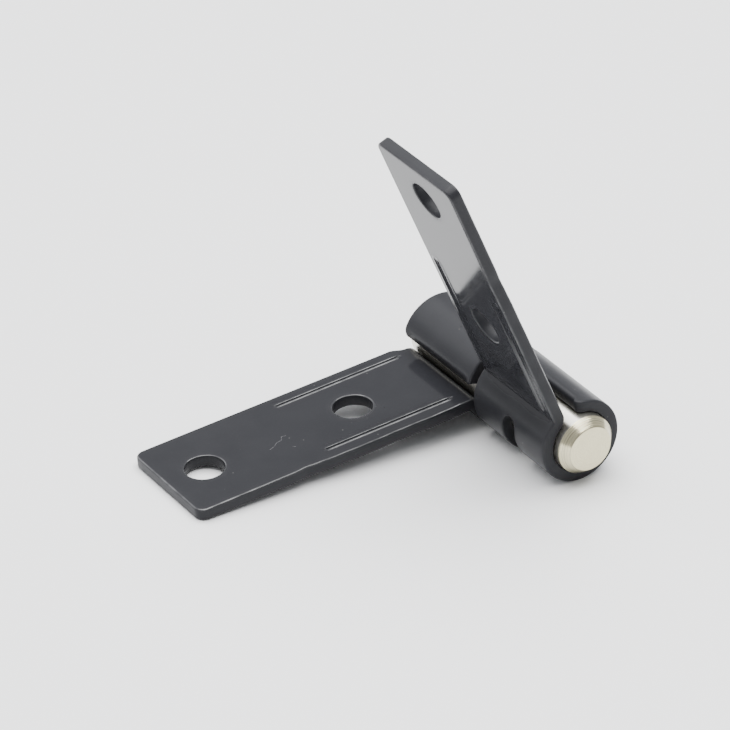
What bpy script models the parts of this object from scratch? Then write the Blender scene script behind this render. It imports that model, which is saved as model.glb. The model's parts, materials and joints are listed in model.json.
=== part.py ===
"""A small T hinge: two alike black sheet-steel leaves, each curled round one bright steel pin.

The hinge lies at rest on z = 0: the fixed leaf slopes down from the barrel to its free edge, and the
swing leaf stands up over it. The pin's axis runs along Y. Lengths are in millimetres and are turned into
metres where a shape is made. In a leaf's own frame the pin's axis is Y, the flat runs out along -X, and
+Z is the side on which the curl closes.
"""

import math

import bmesh
import bpy
from mathutils import Matrix

MM = 0.001

# Pin: its near end stands further out of the barrel than its far end
PIN_DIAMETER = 6.0
PIN_LENGTH = 27.3
PIN_NEAR_PROUD = 1.62
PIN_CHAMFER_LENGTH = 0.95
PIN_CHAMFER_DEPTH = 0.75

# Leaf
SHEET = 1.2
LEAF_LENGTH = 34.15
LEAF_WIDTH = 12.3
LEAF_OFFSET = 1.04
BEND_RADIUS = 1.3
LIP_ANGLE = 17.0
FREE_CORNER_RADIUS = 1.0
ROOT_CORNER_RADIUS = 0.8
ROOT_CORNER_REACH = 4.9
ROOT_CORNER_TURN = 60.0

# Knuckles
KNUCKLE_WIDTH = 11.8
KNUCKLE_PITCH = 12.86

# Screw holes
HOLE_DIAMETER = 3.9
NEAR_HOLE_REACH = 13.4
FAR_HOLE_REACH = 29.9

# Slot round the knuckle
SLOT_WIDTH = 2.0
SLOT_START = 53.0
SLOT_END = 150.0

# Pressed grooves beside the long edges, by how far each lies from the leaf's near side
GROOVE_START = 5.0
GROOVE_END = 19.4
GROOVE_RADIUS = 0.45
GROOVE_DEPTH = 0.16
FIXED_LEAF_GROOVES = (1.65, 10.95)
SWING_LEAF_GROOVES = (1.2, 10.8)

# Fit and pose
RADIAL_CLEARANCE = 0.045
SWING_ELEVATION = 66.9

# Facets, steps in degrees
ARC_STEP = 5.0
BEND_STEP = 12.0
CREASE_STEP = 30.0
CORNER_STEP = 15.0
PIN_SIDES = 72
HOLE_SIDES = 40
GROOVE_SIDES = 16
GROOVE_RINGS = 8
SHARP_ANGLE = 25.0

# How far a cutter passes a face, and how near two points are the same
OVERCUT = 1.0
WELD = 0.001

PIN_RADIUS = PIN_DIAMETER / 2
BORE_RADIUS = PIN_RADIUS + RADIAL_CLEARANCE
BARREL_RADIUS = BORE_RADIUS + SHEET
FACE_LEVEL = -LEAF_OFFSET + SHEET / 2
BACK_LEVEL = -LEAF_OFFSET - SHEET / 2

# The fixed leaf's tilt brings its free edge down to the level of the barrel's underside.
CORNER_DISTANCE = math.hypot(LEAF_LENGTH, BACK_LEVEL)
REST_TILT = math.asin(BARREL_RADIUS / CORNER_DISTANCE) - math.atan2(-BACK_LEVEL, LEAF_LENGTH)
FIXED_LEAF_REACH = LEAF_LENGTH * math.cos(REST_TILT) + FACE_LEVEL * math.sin(REST_TILT)

# The pin's axis stands so that the whole hinge is centred on x = 0 and y = 0, with its underside on z = 0.
AXIS_X = (FIXED_LEAF_REACH - BARREL_RADIUS) / 2
AXIS_HEIGHT = BARREL_RADIUS
NEAR_END_Y = PIN_NEAR_PROUD - PIN_LENGTH / 2

COATING = ("black_coating", (0.035, 0.036, 0.041, 1.0), 0.32, 0.0)
NICKEL = ("nickel_plate", (0.74, 0.71, 0.66, 1.0), 0.24, 1.0)


def clear_scene():
    for obj in list(bpy.data.objects):
        bpy.data.objects.remove(obj, do_unlink=True)


def new_collection(name):
    collection = bpy.data.collections.new(name)
    bpy.context.scene.collection.children.link(collection)
    return collection


def principled(name, colour, roughness, metallic):
    material = bpy.data.materials.new(name)
    material.use_nodes = True
    shader = material.node_tree.nodes["Principled BSDF"]
    shader.inputs["Base Color"].default_value = colour
    shader.inputs["Roughness"].default_value = roughness
    shader.inputs["Metallic"].default_value = metallic
    material.diffuse_color = colour
    return material


def arc(centre, radius, start, end, step=ARC_STEP):
    """Points on an arc about centre, from start to end in degrees, both included."""
    count = max(1, round(abs(end - start) / step))
    angles = (math.radians(start + (end - start) * i / count) for i in range(count + 1))
    return [(centre[0] + radius * math.cos(t), centre[1] + radius * math.sin(t)) for t in angles]


def outline_solid(name, points, thickness, turn, collection):
    """A flat outline in millimetres, filled, made thick about its own plane, turned and made a mesh."""
    curve = bpy.data.curves.new(name, "CURVE")
    curve.dimensions = "2D"
    curve.fill_mode = "BOTH"
    curve.extrude = thickness / 2 * MM
    spline = curve.splines.new("POLY")
    spline.points.add(len(points) - 1)
    for point, (x, y) in zip(spline.points, points):
        point.co = (x * MM, y * MM, 0.0, 1.0)
    spline.use_cyclic_u = True
    guide = bpy.data.objects.new(name + "_outline", curve)
    bpy.context.scene.collection.objects.link(guide)
    bpy.context.view_layer.update()
    graph = bpy.context.evaluated_depsgraph_get()
    mesh = bpy.data.meshes.new_from_object(guide.evaluated_get(graph))
    bpy.data.objects.remove(guide, do_unlink=True)
    bpy.data.curves.remove(curve)
    return mesh_object(name, mesh, turn, collection)


def mesh_object(name, mesh, turn, collection):
    """An object of this mesh, its loose caps welded, with the turn put into its points."""
    cleaned = bmesh.new()
    cleaned.from_mesh(mesh)
    bmesh.ops.remove_doubles(cleaned, verts=cleaned.verts, dist=WELD * MM)
    bmesh.ops.transform(cleaned, matrix=turn, verts=cleaned.verts)
    bmesh.ops.recalc_face_normals(cleaned, faces=cleaned.faces)
    cleaned.to_mesh(mesh)
    cleaned.free()
    mesh.name = name
    obj = bpy.data.objects.new(name, mesh)
    collection.objects.link(obj)
    return obj


def leaf_profile():
    """The leaf's section: reach from the axis across, and height on the side where the curl closes."""
    bend_reach = math.sqrt((BORE_RADIUS + BEND_RADIUS) ** 2 - (BEND_RADIUS - FACE_LEVEL) ** 2)
    bend = (bend_reach, FACE_LEVEL - BEND_RADIUS)
    root = math.degrees(math.atan2(bend[1], bend[0]))
    crease = BEND_RADIUS - SHEET
    return (
        [(LEAF_LENGTH, BACK_LEVEL)]
        + arc(bend, crease, 90.0, 180.0 + root, CREASE_STEP)
        + arc((0.0, 0.0), BARREL_RADIUS, root, LIP_ANGLE - 360.0)[1:]
        + arc((0.0, 0.0), BORE_RADIUS, LIP_ANGLE - 360.0, root)[:-1]
        + arc(bend, BEND_RADIUS, 180.0 + root, 90.0, BEND_STEP)
        + [(LEAF_LENGTH, FACE_LEVEL)]
    )


def leaf_plan():
    """The leaf seen from above: reach from the axis across, and distance along the pin upwards."""
    end = LEAF_LENGTH - FREE_CORNER_RADIUS
    root = ROOT_CORNER_REACH + ROOT_CORNER_RADIUS
    behind = -BARREL_RADIUS - OVERCUT
    free_side = LEAF_WIDTH - FREE_CORNER_RADIUS
    root_side = LEAF_WIDTH - ROOT_CORNER_RADIUS
    return (
        [(behind, 0.0)]
        + arc((end, FREE_CORNER_RADIUS), FREE_CORNER_RADIUS, -90.0, 0.0, CORNER_STEP)
        + arc((end, free_side), FREE_CORNER_RADIUS, 0.0, 90.0, CORNER_STEP)
        + arc((root, root_side), ROOT_CORNER_RADIUS, 90.0, 90.0 + ROOT_CORNER_TURN, CORNER_STEP)
        + [(ROOT_CORNER_REACH, KNUCKLE_WIDTH), (behind, KNUCKLE_WIDTH)]
    )


def slot_outline():
    """A sector that crosses the knuckle's wall, between the middles of the slot's two round ends."""
    end_turn = math.degrees(SLOT_WIDTH / 2 / BARREL_RADIUS)
    first = -SLOT_START - end_turn
    last = -SLOT_END + end_turn
    inner = arc((0.0, 0.0), PIN_RADIUS - OVERCUT, last, first)
    outer = arc((0.0, 0.0), BARREL_RADIUS + OVERCUT, first, last)
    return inner + outer, (first, last)


# A leaf's section is drawn as (reach, height) and its plan as (reach, along); the reach becomes -X.
SECTION_TURN = Matrix(((-1, 0, 0, 0), (0, 0, 1, 0), (0, 1, 0, 0), (0, 0, 0, 1)))
PLAN_TURN = Matrix(((-1, 0, 0, 0), (0, 1, 0, 0), (0, 0, 1, 0), (0, 0, 0, 1)))


def at(reach, along, height):
    return Matrix.Translation((-reach * MM, along * MM, height * MM))


def cylinder(name, radius, length, placing, collection):
    round_bar = bmesh.new()
    bmesh.ops.create_cone(
        round_bar,
        cap_ends=True,
        segments=HOLE_SIDES,
        radius1=radius * MM,
        radius2=radius * MM,
        depth=length * MM,
    )
    mesh = bpy.data.meshes.new(name)
    round_bar.to_mesh(mesh)
    round_bar.free()
    return mesh_object(name, mesh, placing, collection)


def groove_cutter(name, along, level, collection):
    """A round-ended bar sunk a little into one face of the leaf."""
    side = 1.0 if level == FACE_LEVEL else -1.0
    height = level + side * (GROOVE_RADIUS - GROOVE_DEPTH)
    start = GROOVE_START + GROOVE_RADIUS
    end = GROOVE_END - GROOVE_RADIUS
    bar = bmesh.new()
    bmesh.ops.create_uvsphere(
        bar,
        u_segments=GROOVE_SIDES,
        v_segments=GROOVE_RINGS,
        radius=GROOVE_RADIUS * MM,
    )
    bmesh.ops.rotate(bar, verts=bar.verts, matrix=Matrix.Rotation(math.radians(90.0), 3, "Y"))
    for vert in bar.verts:
        vert.co.x += (end if vert.co.x > 0.0 else start) * MM
    mesh = bpy.data.meshes.new(name)
    bar.to_mesh(mesh)
    bar.free()
    placing = Matrix(((-1, 0, 0, 0), (0, 1, 0, along * MM), (0, 0, 1, height * MM), (0, 0, 0, 1)))
    return mesh_object(name, mesh, placing, collection)


def cut(obj, cutter, operation="DIFFERENCE"):
    cutter.hide_render = True
    cutter.display_type = "WIRE"
    modifier = obj.modifiers.new(cutter.name, "BOOLEAN")
    modifier.operation = operation
    modifier.solver = "EXACT"
    modifier.object = cutter


def make_leaf(name, elevation, along, groove_places, parts, cutters, material):
    """A leaf turned up to its elevation in radians about the pin, with its near side at y = along."""
    middle = LEAF_WIDTH / 2
    section_turn = at(0.0, middle, 0.0) @ SECTION_TURN
    leaf = outline_solid(name, leaf_profile(), LEAF_WIDTH, section_turn, parts)
    plan = outline_solid(name + "_plan", leaf_plan(), 4 * BARREL_RADIUS, PLAN_TURN, cutters)
    tools = [(plan, "INTERSECT")]
    for label, reach in (("near", NEAR_HOLE_REACH), ("far", FAR_HOLE_REACH)):
        placing = at(reach, middle, -LEAF_OFFSET)
        hole = cylinder(f"{name}_{label}_hole", HOLE_DIAMETER / 2, 4 * SHEET, placing, cutters)
        tools.append((hole, "DIFFERENCE"))
    knuckle_middle = KNUCKLE_WIDTH / 2
    sector, ends = slot_outline()
    slot_turn = at(0.0, knuckle_middle, 0.0) @ SECTION_TURN
    tools.append((outline_solid(name + "_slot", sector, SLOT_WIDTH, slot_turn, cutters), "DIFFERENCE"))
    for label, angle in zip(("start", "end"), ends):
        turn = Matrix.Rotation(math.radians(angle - 90.0), 4, "Y")
        reach = Matrix.Translation((0.0, 0.0, (PIN_RADIUS + SHEET / 2) * MM))
        placing = at(0.0, knuckle_middle, 0.0) @ turn @ reach
        tip = cylinder(f"{name}_slot_{label}", SLOT_WIDTH / 2, SHEET + 2 * OVERCUT, placing, cutters)
        tools.append((tip, "DIFFERENCE"))
    for side, groove_place in zip(("near", "far"), groove_places):
        for face, level in (("face", FACE_LEVEL), ("back", BACK_LEVEL)):
            groove = groove_cutter(f"{name}_{side}_{face}_groove", groove_place, level, cutters)
            tools.append((groove, "DIFFERENCE"))
    for tool, operation in tools:
        tool.parent = leaf
        cut(leaf, tool, operation)
    leaf.location = (AXIS_X * MM, along * MM, AXIS_HEIGHT * MM)
    leaf.rotation_euler = (0.0, elevation, 0.0)
    finish(leaf, material)
    return leaf


def make_pin(name, parts, material):
    """The pin as a turned bar: half its outline, swept round its own axis, then laid along Y."""
    top = PIN_LENGTH / 2
    rim = top - PIN_CHAMFER_LENGTH
    flat = PIN_RADIUS - PIN_CHAMFER_DEPTH
    outline = [(0.0, top), (flat, top), (PIN_RADIUS, rim), (PIN_RADIUS, -rim), (flat, -top), (0.0, -top)]
    profile = bmesh.new()
    verts = [profile.verts.new((x * MM, 0.0, z * MM)) for x, z in outline]
    for first, second in zip(verts, verts[1:]):
        profile.edges.new((first, second))
    mesh = bpy.data.meshes.new(name)
    profile.to_mesh(mesh)
    profile.free()
    pin = bpy.data.objects.new(name, mesh)
    parts.objects.link(pin)
    turned = pin.modifiers.new("turned", "SCREW")
    turned.axis = "Z"
    turned.angle = math.radians(360.0)
    turned.steps = PIN_SIDES
    turned.render_steps = PIN_SIDES
    turned.use_merge_vertices = True
    turned.merge_threshold = WELD * MM
    pin.location = (AXIS_X * MM, 0.0, AXIS_HEIGHT * MM)
    pin.rotation_euler = (math.radians(-90.0), 0.0, 0.0)
    finish(pin, material)
    return pin


def finish(obj, material):
    obj.data.materials.clear()
    obj.data.materials.append(material)
    obj.data.shade_smooth()
    obj.data.set_sharp_from_angle(angle=math.radians(SHARP_ANGLE))


def main():
    clear_scene()
    parts = new_collection("t_hinge")
    cutters = new_collection("cutters")
    cutters.hide_render = True
    coating = principled(*COATING)
    nickel = principled(*NICKEL)
    far_y = NEAR_END_Y + KNUCKLE_PITCH
    swing = math.radians(SWING_ELEVATION)
    make_leaf("fixed_leaf", -REST_TILT, far_y, FIXED_LEAF_GROOVES, parts, cutters, coating)
    make_leaf("swing_leaf", swing, NEAR_END_Y, SWING_LEAF_GROOVES, parts, cutters, coating)
    make_pin("hinge_pin", parts, nickel)


main()
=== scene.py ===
"""The T hinge's looks: two black-coated pressed leaves and a bright turned pin, on a pale floor.

Lengths are in millimetres, and are turned into metres where a mesh is made. Each leaf is drawn as a
flat blank, along its sheet ("run", from the free edge) and across it ("across", along the pin), and
is then rolled: the flat, a tight reverse bend, and the curl round the pin. "lift" is the distance from
the middle of the sheet, towards the side that the curl closes on. That side is the leaf's face, and it
ends up inside the curl; the other is its back. "reach" is the distance from the pin's axis, measured
along the flat.
"""

import json
import math
from typing import NamedTuple

import bmesh
import bpy
import numpy as np
from mathutils import Matrix, Vector
from mathutils.geometry import delaunay_2d_cdt


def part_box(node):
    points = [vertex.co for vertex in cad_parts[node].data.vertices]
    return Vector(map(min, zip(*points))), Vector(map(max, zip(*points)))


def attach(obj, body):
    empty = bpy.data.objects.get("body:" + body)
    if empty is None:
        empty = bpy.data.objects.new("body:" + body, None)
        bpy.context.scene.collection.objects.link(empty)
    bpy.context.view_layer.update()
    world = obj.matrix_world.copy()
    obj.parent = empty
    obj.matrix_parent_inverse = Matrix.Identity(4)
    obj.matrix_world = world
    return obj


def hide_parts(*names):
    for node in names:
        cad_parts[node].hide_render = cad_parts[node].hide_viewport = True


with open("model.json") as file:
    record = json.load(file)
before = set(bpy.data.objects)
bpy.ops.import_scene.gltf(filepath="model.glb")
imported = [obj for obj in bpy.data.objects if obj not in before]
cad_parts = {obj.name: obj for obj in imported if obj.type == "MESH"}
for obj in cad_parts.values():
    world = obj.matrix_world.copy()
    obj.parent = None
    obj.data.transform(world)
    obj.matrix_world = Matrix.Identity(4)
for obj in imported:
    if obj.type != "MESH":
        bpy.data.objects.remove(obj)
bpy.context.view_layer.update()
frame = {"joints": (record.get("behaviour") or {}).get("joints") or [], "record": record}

MM = 0.001

# From the frame: where the pin's axis is, and which way the face of each leaf looks
AXIS = Vector(frame["joints"][0]["pos_m"])
NORMALS = {mount["name"]: Vector(mount["axis"]) for mount in frame["record"]["mounts"]}

# Sheet and curl
SHEET = 1.2
LEAF_LENGTH = 34.15
LEAF_WIDTH = 12.3
LEAF_OFFSET = 1.04
PIN_RADIUS = 3.0
BORE_CLEARANCE = 0.045
CURL_RADIUS = PIN_RADIUS + BORE_CLEARANCE + SHEET / 2
BEND_OUTER_RADIUS = 1.3
BEND_RADIUS = BEND_OUTER_RADIUS - SHEET / 2
LIP_ANGLE = math.radians(17.0)

# The reverse bend's centre touches the curl from outside; both are found in the leaf's section.
BEND_LIFT = -LEAF_OFFSET - BEND_RADIUS
BEND_REACH = math.sqrt((CURL_RADIUS + BEND_RADIUS) ** 2 - BEND_LIFT**2)
ROOT_ANGLE = math.atan2(-BEND_LIFT, BEND_REACH)
FLAT_RUN = LEAF_LENGTH - BEND_REACH
BEND_RUN = BEND_RADIUS * (math.pi / 2 - ROOT_ANGLE)
CURL_RUN = CURL_RADIUS * (math.tau - ROOT_ANGLE - LIP_ANGLE)
FULL_RUN = FLAT_RUN + BEND_RUN + CURL_RUN

# Blank: its corners, its holes, and the far edge's step down to the knuckle's width
FREE_CORNER = 1.0
FAR_LIP_CORNER = 0.8
ROOT_STEP = 1.5
ROOT_REACH = 4.0
HOLE_RADIUS = 1.95
HOLE_REACHES = (13.4, 29.9)
SLOT_WIDTH = 2.0
SLOT_START = math.radians(53.0)
SLOT_END = math.radians(150.0)
EDGE_ROUND = 0.2
HOLE_ROUND = 0.12
RIM_WIDTH = 0.3

# Edges that pressing has pushed out of line: the near edge swells beside the groove and has a nick
# beyond it, and the far edge tapers
EDGE_SWELL = 0.12
SWELL_ENDS = (4.2, 6.5, 18.8, 20.8)
NICK_REACH = 22.2
NICK_DEPTH = 0.12
NICK_WIDTH = 0.8
FAR_TAPER = 0.12

# Pressed grooves on the back: a shallow V with a lip along each side
GROOVE_REACHES = (5.35, 19.1)
GROOVE_HALF_WIDTH = 0.6
GROOVE_DEPTH = 0.1
GROOVE_POWER = 1.4
GROOVE_LIP = 0.035
GROOVE_LIP_WIDTH = 0.22

# Pressed lines on the face, across the sheet from a groove's centre: the middle and the width of each
# lip and of each polished streak, and where the trough and the shoulder start and stop to go down
# and to come up again
LINE_LIP = 0.05
LINE_LIP_PLACE = (-0.17, 0.12)
FAR_LINE_LIP = 0.03
FAR_LINE_LIP_PLACE = (0.27, 0.07)
LINE_DEPTH = 0.12
LINE_WALLS = (-0.07, 0.05, 0.12, 0.2)
SHOULDER_DEPTH = 0.022
SHOULDER_WALLS = (0.3, 0.4, 0.68, 0.84)
NEAR_STREAK = (-0.2, 0.07)
FAR_STREAK = (0.24, 0.06)
STREAK_SHINE = 0.7
EDGE_SHINE_PEAK = 0.4
BACK_SHINE = 0.5

# Pin
PIN_CHAMFER_LENGTH = 0.95
PIN_CHAMFER_DEPTH = 0.75
PIN_EDGE_ROUND = 0.07
PIN_STEPS = 128
MERGE_DISTANCE = 0.000001

# Mesh spacing
EDGE_FLAT_STEP = 0.4
GRID_FLAT_STEP = 0.8
BEND_STEP = 0.1
CURL_STEP = 0.28
ACROSS_STEP = 0.7
CLEARANCE = 0.12
GROOVE_MARGIN = 1.3
EDGE_RINGS = (0.0, 0.076, 0.293, 0.617, 1.0, 1.25)

# Scratches are broken lines through places (reach, across, BACK_SHIFT on the back or 0 on the face).
BACK_SHIFT = 10.0


class Pressing(NamedTuple):
    """What differs between the two leaves."""

    knuckle_width: float
    near_lip_corner: float
    groove_centres: tuple
    waviness: float
    marks: tuple


FIXED_LEAF = Pressing(
    knuckle_width=11.6,
    near_lip_corner=0.35,
    groove_centres=(1.5, 10.7),
    waviness=0.4,
    marks=(
        (
            (21.1, 5.9, 0.0), (21.5, 6.0, 0.0), (21.8, 5.5, 0.0),
            (22.4, 5.4, 0.0), (22.9, 5.0, 0.0), (23.5, 4.8, 0.0),
        ),
        ((21.3, 3.75, 0.0), (21.5, 3.9, 0.0)),
        ((14.0, 8.9, BACK_SHIFT), (15.6, 9.6, BACK_SHIFT)),
    ),
)
SWING_LEAF = Pressing(
    knuckle_width=11.95,
    near_lip_corner=0.7,
    groove_centres=(1.2, 10.8),
    waviness=1.7,
    marks=(
        ((22.0, 4.1, BACK_SHIFT), (22.1, 4.5, BACK_SHIFT)),
        ((20.0, 7.3, BACK_SHIFT), (20.1, 7.5, BACK_SHIFT)),
        ((24.6, 7.0, 0.0), (26.0, 7.9, 0.0), (26.4, 7.8, 0.0)),
    ),
)

# Coating
COATING_COLOURS = ((0.0165, 0.0168, 0.0195, 1.0), (0.0220, 0.0224, 0.0255, 1.0))
DUST_COLOUR = (0.038, 0.038, 0.04, 1.0)
PINHOLE_COLOUR = (0.003, 0.003, 0.003, 1.0)
MOTE_COLOUR = (0.11, 0.11, 0.105, 1.0)
SCRATCH_COLOUR = (0.085, 0.085, 0.09, 1.0)
SCRATCH_WIDTHS = (0.015, 0.055)
PEEL_HEIGHT = 0.006
TEXTURE_SHIFT = 0.011
CURL_REACHES = (2.6, 3.8)
POLISHED_REACHES = (3.6, 5.4)
COATING_IOR = 1.24
POLISH_ROUGHNESS = 0.12
POLISH_IOR = 2.1

# Nickel: the pin's side, and its warmer chamfers and end faces
SIDE_COLOURS = ((0.62, 0.60, 0.54, 1.0), (0.70, 0.68, 0.61, 1.0))
END_COLOURS = ((0.63, 0.58, 0.39, 1.0), (0.71, 0.655, 0.46, 1.0))
GRAIN_COLOUR = (0.36, 0.34, 0.22, 1.0)
# Painted reflection: the dark arcs on the chamfers, standing in for the dark knuckle mirrored in their
# turning marks
PAINTED_REFLECTION_ARC_COLOUR = (0.22, 0.21, 0.17, 1.0)
TURNING_HEIGHT = 0.004
CHATTER_HEIGHT = 0.02

# Floor
FLOOR_COLOURS = ((0.86, 0.865, 0.87, 1.0), (0.90, 0.90, 0.90, 1.0))
FLOOR_ROUGHNESS = 0.6
FLOOR_HALF_SIZE = 1.5
FLOOR_GAP = 0.00001

# Light: a large soft lamp overhead, and a studio that is darker behind the camera than behind the
# hinge, with a soft glow in its wall behind the hinge on its left
OVERHEAD_PLACE = Vector((0.05, 0.03, 0.75))
OVERHEAD_SIZE = 0.9
OVERHEAD_POWER = 17.0
STUDIO_COLOUR = (0.97, 0.98, 1.0, 1.0)
FRONT_STRENGTH = 0.6
BACK_STRENGTH = 1.05
STUDIO_TURN = (-0.6, 0.3)
GLOW_DIRECTION = (-0.25, 0.72, 0.648)
GLOW_EDGE = 0.8
GLOW_STRENGTH = 2.4

# The camera looks down at the hinge from its left front.
CAMERA_AIM = Vector((1.663, 4.879, 8.388)) * MM
CAMERA_AZIMUTH = math.radians(32.0915)
CAMERA_ELEVATION = math.radians(30.8133)
CAMERA_ROLL = math.radians(-0.4195)
CAMERA_DISTANCE = 495.995 * MM
CAMERA_LENS = 258.944
SENSOR_WIDTH = 36.0
CLIP_START = 0.01


def smooth_step(value, start, end):
    t = np.clip((value - start) / (end - start), 0.0, 1.0)
    return t * t * (3 - 2 * t)


def plateau(value, rise_start, rise_end, fall_start, fall_end):
    """1 in the middle and 0 outside, with smooth sides."""
    return smooth_step(value, rise_start, rise_end) * (1 - smooth_step(value, fall_start, fall_end))


def ridge(value, middle, width):
    """A smooth ridge that is 1 at its middle."""
    return np.exp(-(((value - middle) / width) ** 2))


def roll(blank, lift):
    """The flat blank's points, rolled into the leaf: the pin's axis is Y, and the flat lies along -X."""
    run, across = blank.T
    bend = (run - FLAT_RUN) / BEND_RADIUS + math.pi / 2
    curl = -ROOT_ANGLE - (run - FLAT_RUN - BEND_RUN) / CURL_RADIUS
    in_flat = run <= FLAT_RUN
    in_bend = ~in_flat & (run <= FLAT_RUN + BEND_RUN)
    bend_reach = BEND_REACH + (BEND_RADIUS + lift) * np.cos(bend)
    bend_lift = BEND_LIFT + (BEND_RADIUS + lift) * np.sin(bend)
    curl_reach = (CURL_RADIUS - lift) * np.cos(curl)
    curl_lift = (CURL_RADIUS - lift) * np.sin(curl)
    reach = np.where(in_flat, LEAF_LENGTH - run, np.where(in_bend, bend_reach, curl_reach))
    height = np.where(in_flat, lift - LEAF_OFFSET, np.where(in_bend, bend_lift, curl_lift))
    return np.stack([-reach, across, height], axis=1)


def run_of_angle(angle):
    """How far along the sheet the curl has reached an angle, from 0 towards the free edge."""
    return FLAT_RUN + BEND_RUN + CURL_RADIUS * (angle - ROOT_ANGLE)


def arc(centre, radius, start, end, count):
    angles = np.radians(np.linspace(start, end, count + 1))
    return np.stack([centre[0] + radius * np.cos(angles), centre[1] + radius * np.sin(angles)], axis=1)


def sheet_step(flat_step, margin):
    """The spacing along the sheet: wide in the flat, close in the bend, and in between in the curl."""

    def step(run):
        if run < FLAT_RUN - margin:
            return flat_step
        return BEND_STEP if run < FLAT_RUN + BEND_RUN + 0.1 else CURL_STEP

    return step


EDGE_STEP = sheet_step(EDGE_FLAT_STEP, 0.3)
GRID_STEP = sheet_step(GRID_FLAT_STEP, 0.9)


def stations(start, end, step):
    """Places from start to end, each a step beyond the last, the step depending on where it is."""
    places = [start]
    while places[-1] < end:
        places.append(places[-1] + step(places[-1]))
    places = np.array(places)
    return start + (places - start) * (end - start) / (places[-1] - start)


def side(start, end, across):
    """A straight stretch of the blank's edge, closely spaced where the sheet is rolled."""
    runs = stations(min(start, end), max(start, end), EDGE_STEP)
    if start > end:
        runs = runs[::-1]
    return np.stack([runs, np.full(len(runs), across)], axis=1)


def swollen(points, waviness):
    """The blank's edge, with its near side swollen and nicked and its far side tapered."""
    reach = LEAF_LENGTH - points[:, 0]
    uneven = 0.2 * np.sin(reach * 0.9 + waviness) + 0.12 * np.sin(reach * 2.3 + 2 * waviness)
    swell = EDGE_SWELL * plateau(reach, *SWELL_ENDS) * (1 + uneven)
    nick = NICK_DEPTH * ridge(reach, NICK_REACH, NICK_WIDTH)
    taper_end = LEAF_LENGTH - ROOT_REACH - ROOT_STEP
    taper = smooth_step(points[:, 0], FREE_CORNER, taper_end)
    taper -= smooth_step(points[:, 0], taper_end, taper_end + ROOT_STEP)
    on_near_edge = points[:, 1] < 0.5
    on_far_edge = (points[:, 1] > LEAF_WIDTH / 2) & (points[:, 0] > FREE_CORNER)
    moved = points.copy()
    moved[:, 1] += np.where(on_near_edge, nick - swell, 0.0)
    moved[:, 1] -= np.where(on_far_edge, FAR_TAPER * taper, 0.0)
    return moved


def root_step(start, end, knuckle_width):
    """The far edge's eased step down to the knuckle's width, from the knuckle to the flat."""
    runs = np.linspace(end, start, 14)[1:]
    fall = smooth_step(runs, start, end)
    return np.stack([runs, LEAF_WIDTH - fall * (LEAF_WIDTH - knuckle_width)], axis=1)


def outer_loop(leaf):
    """The blank's outer edge, anticlockwise from the near corner of its free edge."""
    far = LEAF_WIDTH - FREE_CORNER
    near_lip = FULL_RUN - leaf.near_lip_corner
    far_lip = FULL_RUN - FAR_LIP_CORNER
    knuckle_side = LEAF_LENGTH - ROOT_REACH
    root = LEAF_LENGTH - ROOT_REACH - ROOT_STEP
    points = np.concatenate([
        arc((FREE_CORNER, FREE_CORNER), FREE_CORNER, 180.0, 270.0, 10),
        side(FREE_CORNER, near_lip, 0.0)[1:],
        arc((near_lip, leaf.near_lip_corner), leaf.near_lip_corner, -90.0, 0.0, 6)[1:],
        arc((far_lip, leaf.knuckle_width - FAR_LIP_CORNER), FAR_LIP_CORNER, 0.0, 90.0, 8),
        side(far_lip, knuckle_side, leaf.knuckle_width)[1:],
        root_step(root, knuckle_side, leaf.knuckle_width),
        side(root, FREE_CORNER, LEAF_WIDTH)[1:],
        arc((FREE_CORNER, far), FREE_CORNER, 90.0, 180.0, 10)[1:],
    ])
    span = np.linspace(far, FREE_CORNER, 16)[1:-1]
    free_edge = np.stack([np.zeros(len(span)), span], axis=1)
    return swollen(np.concatenate([points, free_edge]), leaf.waviness)


def hole_loop(reach):
    return arc((LEAF_LENGTH - reach, LEAF_WIDTH / 2), HOLE_RADIUS, 0.0, -360.0, 56)[:-1]


def slot_loop(middle):
    """The slot through the curl, clockwise."""
    half = SLOT_WIDTH / 2
    first = run_of_angle(SLOT_START) + half
    last = run_of_angle(SLOT_END) - half
    upper = side(first, last, middle + half)
    lower = side(last, first, middle - half)
    right = arc((last, middle), half, 90.0, -90.0, 14)[1:]
    left = arc((first, middle), half, -90.0, -270.0, 14)[1:-1]
    return np.concatenate([upper, right, lower[1:], left])


def inset(loop, distance):
    """The loop moved into the sheet; an outer loop runs anticlockwise and a hole clockwise."""
    before = loop - np.roll(loop, 1, axis=0)
    after = np.roll(loop, -1, axis=0) - loop
    before /= np.linalg.norm(before, axis=1, keepdims=True)
    after /= np.linalg.norm(after, axis=1, keepdims=True)
    normal = np.stack([-(before + after)[:, 1], (before + after)[:, 0]], axis=1)
    normal /= np.linalg.norm(normal, axis=1, keepdims=True)
    cosine = np.abs(before[:, 0] * normal[:, 1] - before[:, 1] * normal[:, 0])
    return loop + normal * (distance / np.clip(cosine, 0.5, 1.0))[:, None]


def inside(points, loop):
    """Which points are inside a closed loop, by how often a line out of each crosses it."""
    crossings = np.zeros(len(points), dtype=int)
    for start, end in zip(loop, np.roll(loop, -1, axis=0)):
        spans = (start[1] > points[:, 1]) != (end[1] > points[:, 1])
        slope = (end[0] - start[0]) / (end[1] - start[1]) if end[1] != start[1] else 0.0
        crossings += spans & (points[:, 0] < start[0] + slope * (points[:, 1] - start[1]))
    return crossings % 2 == 1


def on_sheet(points, loops):
    """Which points are inside the outer loop, which comes first, and outside every hole."""
    kept = inside(points, loops[0][0])
    for loop, _ in loops[1:]:
        kept &= ~inside(points, loop)
    return kept


def distance_to_loop(points, loop):
    """How far each point is from the nearest of the loop's straight stretches."""
    best = np.full(len(points), np.inf)
    for start, end in zip(loop, np.roll(loop, -1, axis=0)):
        along = end - start
        t = np.clip((points - start) @ along / (along @ along), 0.0, 1.0)
        best = np.minimum(best, np.linalg.norm(points - start - t[:, None] * along, axis=1))
    return best


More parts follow.
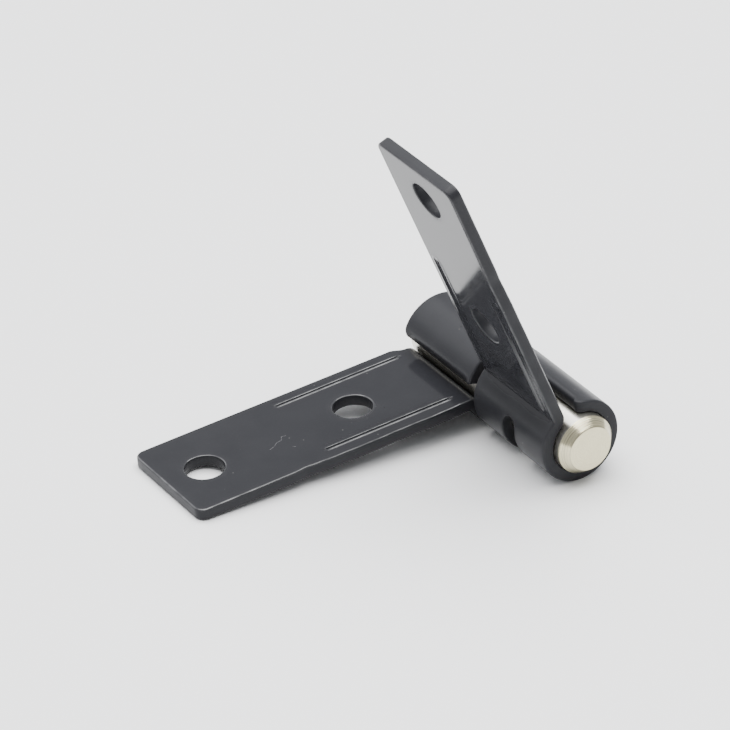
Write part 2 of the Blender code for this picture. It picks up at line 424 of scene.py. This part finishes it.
def groove_distance(points, centre):
    """How far each point of the blank is from the line down the middle of a groove."""
    low = LEAF_LENGTH - GROOVE_REACHES[1]
    high = LEAF_LENGTH - GROOVE_REACHES[0]
    along = points[:, 0] - np.clip(points[:, 0], low, high)
    return np.hypot(along, points[:, 1] - centre)


def groove_back(points, centres):
    """How far the back stands out where the grooves are pressed."""
    height = np.zeros(len(points))
    for centre in centres:
        away = groove_distance(points, centre) / GROOVE_HALF_WIDTH
        trough = np.clip(1 - away, 0.0, 1.0) ** GROOVE_POWER
        height += GROOVE_LIP * ridge(away, 1.0, GROOVE_LIP_WIDTH) - GROOVE_DEPTH * trough
    return height


def groove_face(points, centres):
    """How far the face stands out: lips along a narrow trough, and a shallow shoulder beyond them."""
    reach = LEAF_LENGTH - points[:, 0]
    low, high = GROOVE_REACHES
    pressed = plateau(reach, low - 0.5, low + 0.3, high - 0.2, high + 0.4)
    shouldered = smooth_step(reach, low + 1.6, low + 3.0)
    height = np.zeros(len(points))
    for centre in centres:
        off = points[:, 1] - centre
        lip = LINE_LIP * ridge(off, *LINE_LIP_PLACE)
        far_lip = FAR_LINE_LIP * ridge(off, *FAR_LINE_LIP_PLACE)
        trough = LINE_DEPTH * plateau(off, *LINE_WALLS)
        shoulder = SHOULDER_DEPTH * plateau(off, *SHOULDER_WALLS)
        height += pressed * (lip + far_lip - trough - shoulder * shouldered)
    return height


def polish(points, loops, centres):
    """Where handling has polished the face: along its rounded edges and along its pressed lines."""
    shine = np.zeros(len(points))
    for loop, radius in loops:
        away = distance_to_loop(points, loop) / radius
        edge = 1 - np.abs(away - EDGE_SHINE_PEAK) / EDGE_SHINE_PEAK
        shine = np.maximum(shine, np.clip(edge, 0.0, 1.0))
    reach = LEAF_LENGTH - points[:, 0]
    low, high = GROOVE_REACHES
    pressed = plateau(reach, low, low + 0.5, high - 0.3, high + 0.1)
    for centre in centres:
        off = points[:, 1] - centre
        streaks = np.maximum(ridge(off, *NEAR_STREAK), ridge(off, *FAR_STREAK))
        shine = np.maximum(shine, STREAK_SHINE * pressed * streaks)
    return shine


def round_off(distance, radius):
    """How far a rounded edge has dropped below the face, at a distance in from the edge."""
    inner = np.clip(radius - distance, 0.0, radius)
    return radius - np.sqrt(radius**2 - inner**2)


def grid(columns, rows):
    return np.stack([g.ravel() for g in np.meshgrid(columns, rows)], axis=1)


def groove_points(centres):
    """Closely spaced rows along each groove, from beyond one end to beyond the other."""
    low = LEAF_LENGTH - GROOVE_REACHES[1] - 1.0
    high = LEAF_LENGTH - GROOVE_REACHES[0] + 1.0
    rows = np.concatenate([
        np.arange(-0.9, -0.4, 0.1), np.arange(-0.4, 0.44, 0.03), np.arange(0.46, 0.95, 0.06)
    ])
    return grid(np.linspace(low, high, 64), np.add.outer(np.array(centres), rows).ravel())


def inner_points(loops, centres):
    """A grid over the sheet, with closer rows instead along the grooves, all clear of the edges."""
    acrosses = np.linspace(0.0, LEAF_WIDTH, round(LEAF_WIDTH / ACROSS_STEP) + 1)
    points = grid(stations(0.0, FULL_RUN, GRID_STEP), acrosses)
    for centre in centres:
        points = points[groove_distance(points, centre) > GROOVE_MARGIN + CLEARANCE]
    points = np.concatenate([points, groove_points(centres)])
    points = points[on_sheet(points, loops)]
    for loop, radius in loops:
        points = points[distance_to_loop(points, loop) > EDGE_RINGS[-1] * radius + CLEARANCE]
    return points


def triangulated(loops, centres):
    """The flat blank: its points, its triangles, and the points along each of its cut edges in turn."""
    points = []
    stretches = []
    edges = []
    for loop, radius in loops:
        edge = sum(len(p) for p in points) + np.arange(len(loop))
        edges.append(edge)
        stretches += list(zip(edge, np.roll(edge, -1)))
        points += [inset(loop, share * radius) for share in EDGE_RINGS]
    points.append(inner_points(loops, centres))
    corners, _, faces, origins, _, _ = delaunay_2d_cdt(
        [Vector(p) for p in np.concatenate(points)], stretches, [], 0, 1e-7
    )
    blank = np.array([tuple(c) for c in corners])
    faces = np.array([tuple(f) for f in faces])
    faces = faces[on_sheet(blank[faces].mean(axis=1), loops)]
    where = {first: index for index, sources in enumerate(origins) for first in sources}
    return blank, faces, [[where[number] for number in edge] for edge in edges]


def store(mesh, name, values):
    """Keep a number or a vector at each of the mesh's points, for its material to read."""
    kind, field = ("FLOAT", "value") if values.ndim == 1 else ("FLOAT_VECTOR", "vector")
    attribute = mesh.attributes.new(name, kind, "POINT")
    attribute.data.foreach_set(field, values.ravel().astype(np.float32))


def leaf_mesh(name, leaf):
    """The leaf in its own frame, in metres. The points of its face come first, then those of its back.

    At each point it keeps "rim", which is 1 on a cut edge, "shine", which is 1 where it is polished, and
    "spot", which is its reach, its place across the sheet and BACK_SHIFT on the back.
    """
    loops = [(outer_loop(leaf), EDGE_ROUND)]
    loops += [(hole_loop(reach), HOLE_ROUND) for reach in HOLE_REACHES]
    loops += [(slot_loop(leaf.knuckle_width / 2), HOLE_ROUND)]
    blank, faces, edges = triangulated(loops, leaf.groove_centres)
    count = len(blank)
    drop = np.zeros(count)
    rim = np.zeros(count)
    for loop, radius in loops:
        away = distance_to_loop(blank, loop)
        drop = np.maximum(drop, round_off(away, radius))
        rim = np.maximum(rim, ridge(away, 0.0, RIM_WIDTH))
    above = roll(blank, SHEET / 2 - drop + groove_face(blank, leaf.groove_centres))
    below = roll(blank, -SHEET / 2 + drop - groove_back(blank, leaf.groove_centres))
    polygons = [tuple(f) for f in faces] + [tuple(f[::-1] + count) for f in faces]
    for edge in edges:
        for first, second in zip(edge, edge[1:] + edge[:1]):
            polygons.append((first, first + count, second + count, second))
    mesh = bpy.data.meshes.new(name)
    mesh.from_pydata((np.concatenate([above, below]) * MM).tolist(), [], polygons)
    mesh.validate()
    shine = polish(blank, loops, leaf.groove_centres)
    spot = np.stack([LEAF_LENGTH - blank[:, 0], blank[:, 1], np.zeros(count)], axis=1)
    store(mesh, "rim", np.concatenate([rim, rim]))
    store(mesh, "shine", np.concatenate([shine, BACK_SHINE * shine]))
    store(mesh, "spot", np.concatenate([spot, spot + (0.0, 0.0, BACK_SHIFT)]))
    mesh.shade_smooth()
    return mesh


def recalculated(mesh):
    """The mesh, with its faces turned to look outwards."""
    fixed = bmesh.new()
    fixed.from_mesh(mesh)
    bmesh.ops.recalc_face_normals(fixed, faces=fixed.faces)
    fixed.to_mesh(mesh)
    fixed.free()
    return mesh


def pin_profile(length):
    """Radius and height down the pin's outline, its four corners eased."""
    top = length / 2
    rim = top - PIN_CHAMFER_LENGTH
    flat = PIN_RADIUS - PIN_CHAMFER_DEPTH
    corners = [(0.0, top), (flat, top), (PIN_RADIUS, rim), (PIN_RADIUS, -rim), (flat, -top), (0.0, -top)]
    points = [corners[0], (flat * 0.5, top)]
    for before, corner, after in zip(corners, corners[1:], corners[2:]):
        corner = Vector(corner)
        back = (Vector(before) - corner).normalized() * PIN_EDGE_ROUND
        ahead = (Vector(after) - corner).normalized() * PIN_EDGE_ROUND
        for t in (0.0, 0.25, 0.5, 0.75, 1.0):
            points.append(tuple(corner + back * (1 - t) ** 2 + ahead * t**2))
    return points + [(flat * 0.5, -top), corners[-1]]


def turned_pin(name, length):
    """The pin in metres, standing along Z."""
    points = [(r * MM, 0.0, z * MM) for r, z in pin_profile(length)]
    profile = bpy.data.meshes.new(name)
    profile.from_pydata(points, [(i, i + 1) for i in range(len(points) - 1)], [])
    pin = add_piece(name, profile)
    turned = pin.modifiers.new("turned", "SCREW")
    turned.axis = "Z"
    turned.steps = PIN_STEPS
    turned.render_steps = PIN_STEPS
    turned.use_merge_vertices = True
    turned.merge_threshold = MERGE_DISTANCE
    turned.use_smooth_shade = True
    graph = bpy.context.evaluated_depsgraph_get()
    mesh = bpy.data.meshes.new_from_object(pin.evaluated_get(graph))
    bpy.data.objects.remove(pin, do_unlink=True)
    mesh.name = name
    mesh.shade_smooth()
    return mesh


class Nodes:
    """A short way to write the nodes of a material or of the world."""

    def __init__(self, owner):
        self.owner = owner
        owner.use_nodes = True
        self.tree = owner.node_tree

    def put(self, value, socket):
        """Give a socket a link from another socket, or a constant."""
        if isinstance(value, bpy.types.NodeSocket):
            self.tree.links.new(value, socket)
        else:
            socket.default_value = value

    def add(self, kind, inputs=None, **settings):
        node = self.tree.nodes.new(kind)
        for key, value in settings.items():
            setattr(node, key, value)
        for key, value in (inputs or {}).items():
            self.put(value, node.inputs[key])
        return node

    def calculate(self, operation, *values):
        return self.add("ShaderNodeMath", dict(enumerate(values)), operation=operation).outputs["Value"]

    def plus(self, first, second):
        return self.calculate("ADD", first, second)

    def times(self, first, second):
        return self.calculate("MULTIPLY", first, second)

    def vector(self, operation, first, second, output="Vector"):
        node = self.add("ShaderNodeVectorMath", {0: first, 1: second}, operation=operation)
        return node.outputs[output]

    def combine(self, x, y, z):
        return self.add("ShaderNodeCombineXYZ", {"X": x, "Y": y, "Z": z}).outputs["Vector"]

    def parts(self, vector):
        return self.add("ShaderNodeSeparateXYZ", {0: vector}).outputs

    def stored(self, name, output="Fac"):
        return self.add("ShaderNodeAttribute", attribute_name=name).outputs[output]

    def place(self, origin=(0.0, 0.0, 0.0)):
        """The object's coordinates in millimetres, about a point given in metres."""
        coordinates = self.add("ShaderNodeTexCoord").outputs["Object"]
        return self.vector("MULTIPLY", self.vector("SUBTRACT", coordinates, origin), (1 / MM,) * 3)

    def noise(self, vector, scale, detail=2.0, roughness=0.5):
        inputs = {"Vector": vector, "Scale": scale, "Detail": detail, "Roughness": roughness}
        return self.add("ShaderNodeTexNoise", inputs).outputs["Fac"]

    def spread(self, value, low, high, to_low, to_high):
        """Map low..high to to_low..to_high, and hold the ends."""
        inputs = {"Value": value, "From Min": low, "From Max": high, "To Min": to_low, "To Max": to_high}
        return self.add("ShaderNodeMapRange", inputs).outputs["Result"]

    def specks(self, vector, scale, core, edge, strength):
        """Small scattered specks, at full strength out to core and gone at edge."""
        inputs = {"Vector": vector, "Scale": scale, "Randomness": 1.0}
        away = self.add("ShaderNodeTexVoronoi", inputs).outputs["Distance"]
        return self.spread(away, core, edge, strength, 0.0)

    def line(self, vector, points):
        """How far a place is from a broken line through points, in the place's own units."""
        nearest = None
        for start, end in zip(points, points[1:]):
            along = Vector(end) - Vector(start)
            from_start = self.vector("SUBTRACT", vector, start)
            share = self.vector("DOT_PRODUCT", from_start, tuple(along / along.length_squared), "Value")
            share = self.spread(share, 0.0, 1.0, 0.0, 1.0)
            foot = self.vector("MULTIPLY", self.combine(share, share, share), tuple(along))
            away = self.vector("DISTANCE", from_start, foot, "Value")
            nearest = away if nearest is None else self.calculate("MINIMUM", nearest, away)
        return nearest

    def blend(self, factor, first, second):
        """Mix two colours. The sockets for colours are found by number, as their names aren't unique."""
        inputs = {"Factor": factor, 6: first, 7: second}
        return self.add("ShaderNodeMix", inputs, data_type="RGBA").outputs[2]

    def bump(self, height, distance, strength, **inputs):
        inputs.update(Height=height, Distance=distance, Strength=strength)
        return self.add("ShaderNodeBump", inputs).outputs["Normal"]

    def finish(self, **sockets):
        """The finished material, with each value put on the shader's socket of that name."""
        for key, value in sockets.items():
            self.put(value, self.tree.nodes["Principled BSDF"].inputs[key.replace("_", " ")])
        return self.owner


def coating_material(name, leaf):
    """Black semi-gloss coating: faint orange peel, dust, pinholes, scratches and polished edges."""
    nodes = Nodes(bpy.data.materials.new(name))
    place = nodes.place((leaf.waviness * TEXTURE_SHIFT, 0.0, 0.0))
    spot = nodes.stored("spot", "Vector")
    broad = nodes.noise(place, 0.3, 3.0)
    peel = nodes.noise(place, 0.9)
    grain = nodes.noise(place, 6.0, 2.0, 0.6)
    pinhole = nodes.specks(place, 0.3, 0.02, 0.045, 1.0)
    mote = nodes.specks(place, 0.55, 0.02, 0.05, 0.7)
    scratch = None
    for points in leaf.marks:
        mark = nodes.spread(nodes.line(spot, points), *SCRATCH_WIDTHS, 1.0, 0.0)
        scratch = mark if scratch is None else nodes.calculate("MAXIMUM", scratch, mark)
    scratch = nodes.times(scratch, nodes.spread(grain, 0.35, 0.6, 0.2, 1.0))

    colour = nodes.blend(broad, *COATING_COLOURS)
    colour = nodes.blend(nodes.spread(grain, 0.5, 0.75, 0.0, 0.1), colour, DUST_COLOUR)
    colour = nodes.blend(pinhole, colour, PINHOLE_COLOUR)
    colour = nodes.blend(mote, colour, MOTE_COLOUR)
    colour = nodes.blend(scratch, colour, SCRATCH_COLOUR)

    # The curl, the cut edges and the scratches are duller than the flat.
    reach = nodes.parts(spot)["X"]
    curled = nodes.spread(reach, *CURL_REACHES, 0.2, 0.0)
    rough = nodes.plus(nodes.spread(broad, 0.3, 0.7, 0.08, 0.14), curled)
    rough = nodes.plus(rough, nodes.times(nodes.stored("rim"), 0.22))
    rough = nodes.plus(rough, nodes.times(scratch, 0.3))
    height = nodes.plus(nodes.calculate("SUBTRACT", peel, pinhole), scratch)

    # A clear coat stands for the polish, so that edges glint. It is uneven, and faint round the curl.
    patchy = nodes.spread(nodes.noise(place, 0.7, 3.0), 0.35, 0.6, 0.35, 1.0)
    worn = nodes.times(nodes.stored("shine"), patchy)
    worn = nodes.times(worn, nodes.spread(reach, *POLISHED_REACHES, 0.15, 1.0))
    return nodes.finish(
        Base_Color=colour,
        Roughness=rough,
        Normal=nodes.bump(height, PEEL_HEIGHT * MM, 0.22),
        IOR=COATING_IOR,
        Coat_Weight=worn,
        Coat_Roughness=POLISH_ROUGHNESS,
        Coat_IOR=POLISH_IOR,
    )


def nickel_material(name, axis, length):
    """Bright nickel over a turned pin: fine rings about its axis, chatter bumps on the chamfers with
    dark arcs of painted reflection in their colour, and grainy ends.
    """
    nodes = Nodes(bpy.data.materials.new(name))
    place = nodes.place(axis)
    parts = nodes.parts(place)
    squares = nodes.plus(nodes.times(parts["X"], parts["X"]), nodes.times(parts["Z"], parts["Z"]))
    radius = nodes.calculate("POWER", squares, 0.5)
    from_middle = nodes.calculate("ABSOLUTE", parts["Y"])
    turned = nodes.noise(nodes.combine(radius, parts["Y"], 0.0), 14.0, 3.0, 0.7)
    grain = nodes.noise(place, 11.0, 2.0, 0.6)
    broad = nodes.noise(place, 0.8)
    rim = length / 2 - PIN_CHAMFER_LENGTH
    flat = PIN_RADIUS - PIN_CHAMFER_DEPTH
    on_chamfer = nodes.times(
        nodes.spread(from_middle, rim, rim + 0.03, 0.0, 1.0),
        nodes.spread(radius, flat - 0.02, flat + 0.04, 0.0, 1.0),
    )
    uneven_radius = nodes.plus(radius, nodes.times(broad, 0.12))
    coarse = nodes.add(
        "ShaderNodeTexNoise",
        {"W": uneven_radius, "Scale": 9.0, "Detail": 3.0, "Roughness": 0.6},
        noise_dimensions="1D",
    ).outputs["Fac"]
    # The chatter pattern both bumps the chamfers and paints dark arcs of reflection into their colour
    chatter_and_reflection_arcs = nodes.times(coarse, on_chamfer)

    ends = nodes.blend(broad, *END_COLOURS)
    ends = nodes.blend(nodes.spread(grain, 0.4, 0.65, 0.0, 0.35), ends, GRAIN_COLOUR)
    at_end = nodes.spread(from_middle, rim - 0.1, rim, 0.0, 1.0)
    colour = nodes.blend(at_end, nodes.blend(broad, *SIDE_COLOURS), ends)
    # Painted reflection: the chamfer's colour is darkened in arcs along the chatter pattern
    colour = nodes.blend(nodes.spread(chatter_and_reflection_arcs, 0.48, 0.62, 0.0, 0.45), colour, PAINTED_REFLECTION_ARC_COLOUR)
    rough = nodes.spread(turned, 0.3, 0.7, 0.2, 0.34)
    rough = nodes.plus(rough, nodes.spread(grain, 0.3, 0.7, 0.0, 0.08))
    rough = nodes.calculate("SUBTRACT", rough, nodes.spread(on_chamfer, 0.0, 1.0, 0.0, 0.13))
    fine = nodes.bump(nodes.plus(turned, nodes.times(grain, 0.4)), TURNING_HEIGHT * MM, 0.6)
    bump = nodes.bump(chatter_and_reflection_arcs, CHATTER_HEIGHT * MM, 1.0, Normal=fine)
    return nodes.finish(Base_Color=colour, Roughness=rough, Metallic=1.0, Normal=bump)


def floor_material():
    nodes = Nodes(bpy.data.materials.new("floor"))
    colour = nodes.blend(nodes.noise(nodes.place(), 0.004), *FLOOR_COLOURS)
    return nodes.finish(Base_Color=colour, Roughness=FLOOR_ROUGHNESS)


def add_piece(name, data, matrix=Matrix.Identity(4)):
    piece = bpy.data.objects.new(name, data)
    bpy.context.scene.collection.objects.link(piece)
    piece.matrix_world = matrix
    return piece


def make_leaf(node, body, pressing):
    normal = NORMALS[node + "_face"]
    elevation = math.atan2(normal.x, normal.z)
    low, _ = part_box(node)
    mesh = recalculated(leaf_mesh(node + "_pressing", pressing))
    mesh.transform(Matrix.Translation((AXIS.x, low[1], AXIS.z)) @ Matrix.Rotation(elevation, 4, "Y"))
    mesh.materials.append(coating_material(node + "_coating", pressing))
    leaf = add_piece(node + "_pressing", mesh)
    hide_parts(node)
    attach(leaf, body)


def make_pin():
    low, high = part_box("hinge_pin")
    length = (high[1] - low[1]) / MM
    middle = Matrix.Translation((AXIS.x, (low[1] + high[1]) / 2, AXIS.z))
    mesh = turned_pin("hinge_pin_turned", length)
    mesh.transform(middle @ Matrix.Rotation(-math.pi / 2, 4, "X"))
    mesh.materials.append(nickel_material("pin_nickel", tuple(AXIS), length))
    pin = add_piece("hinge_pin_turned", mesh)
    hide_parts("hinge_pin")
    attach(pin, "fixed")


def make_floor():
    half = FLOOR_HALF_SIZE
    mesh = bpy.data.meshes.new("floor")
    corners = [(-half, -half, 0.0), (half, -half, 0.0), (half, half, 0.0), (-half, half, 0.0)]
    mesh.from_pydata(corners, [], [(0, 1, 2, 3)])
    mesh.materials.append(floor_material())
    floor = add_piece("floor", mesh, Matrix.Translation((0.0, 0.0, -FLOOR_GAP)))


def make_overhead_lamp():
    light = bpy.data.lights.new("overhead", "AREA")
    light.shape = "RECTANGLE"
    light.size = light.size_y = OVERHEAD_SIZE
    light.energy = OVERHEAD_POWER
    aimed = (-OVERHEAD_PLACE).to_track_quat("-Z", "Y").to_matrix().to_4x4()
    add_piece("overhead", light, Matrix.Translation(OVERHEAD_PLACE) @ aimed)


def make_studio():
    studio = Nodes(bpy.data.worlds.new("studio"))
    direction = studio.add("ShaderNodeTexCoord").outputs["Generated"]
    wall = studio.spread(studio.parts(direction)["Y"], *STUDIO_TURN, FRONT_STRENGTH, BACK_STRENGTH)
    towards = studio.vector("DOT_PRODUCT", direction, GLOW_DIRECTION, "Value")
    glow = studio.add(
        "ShaderNodeMapRange",
        {"Value": towards, "From Min": GLOW_EDGE, "To Max": GLOW_STRENGTH},
        interpolation_type="SMOOTHSTEP",
    ).outputs["Result"]
    background = studio.tree.nodes["Background"]
    studio.put(STUDIO_COLOUR, background.inputs["Color"])
    studio.put(studio.plus(wall, glow), background.inputs["Strength"])
    bpy.context.scene.world = studio.owner


def make_camera():
    data = bpy.data.cameras.new("camera")
    data.sensor_width = SENSOR_WIDTH
    data.lens = CAMERA_LENS
    data.clip_start = CLIP_START
    turn = (
        Matrix.Rotation(-CAMERA_AZIMUTH, 4, "Z")
        @ Matrix.Rotation(math.pi / 2 - CAMERA_ELEVATION, 4, "X")
        @ Matrix.Rotation(CAMERA_ROLL, 4, "Z")
    )
    back = turn @ Vector((0.0, 0.0, CAMERA_DISTANCE))
    bpy.context.scene.camera = add_piece("camera", data, Matrix.Translation(CAMERA_AIM + back) @ turn)


make_leaf("fixed_leaf", "fixed", FIXED_LEAF)
make_leaf("swing_leaf", "swing", SWING_LEAF)
make_pin()
make_floor()
make_overhead_lamp()
make_studio()
make_camera()
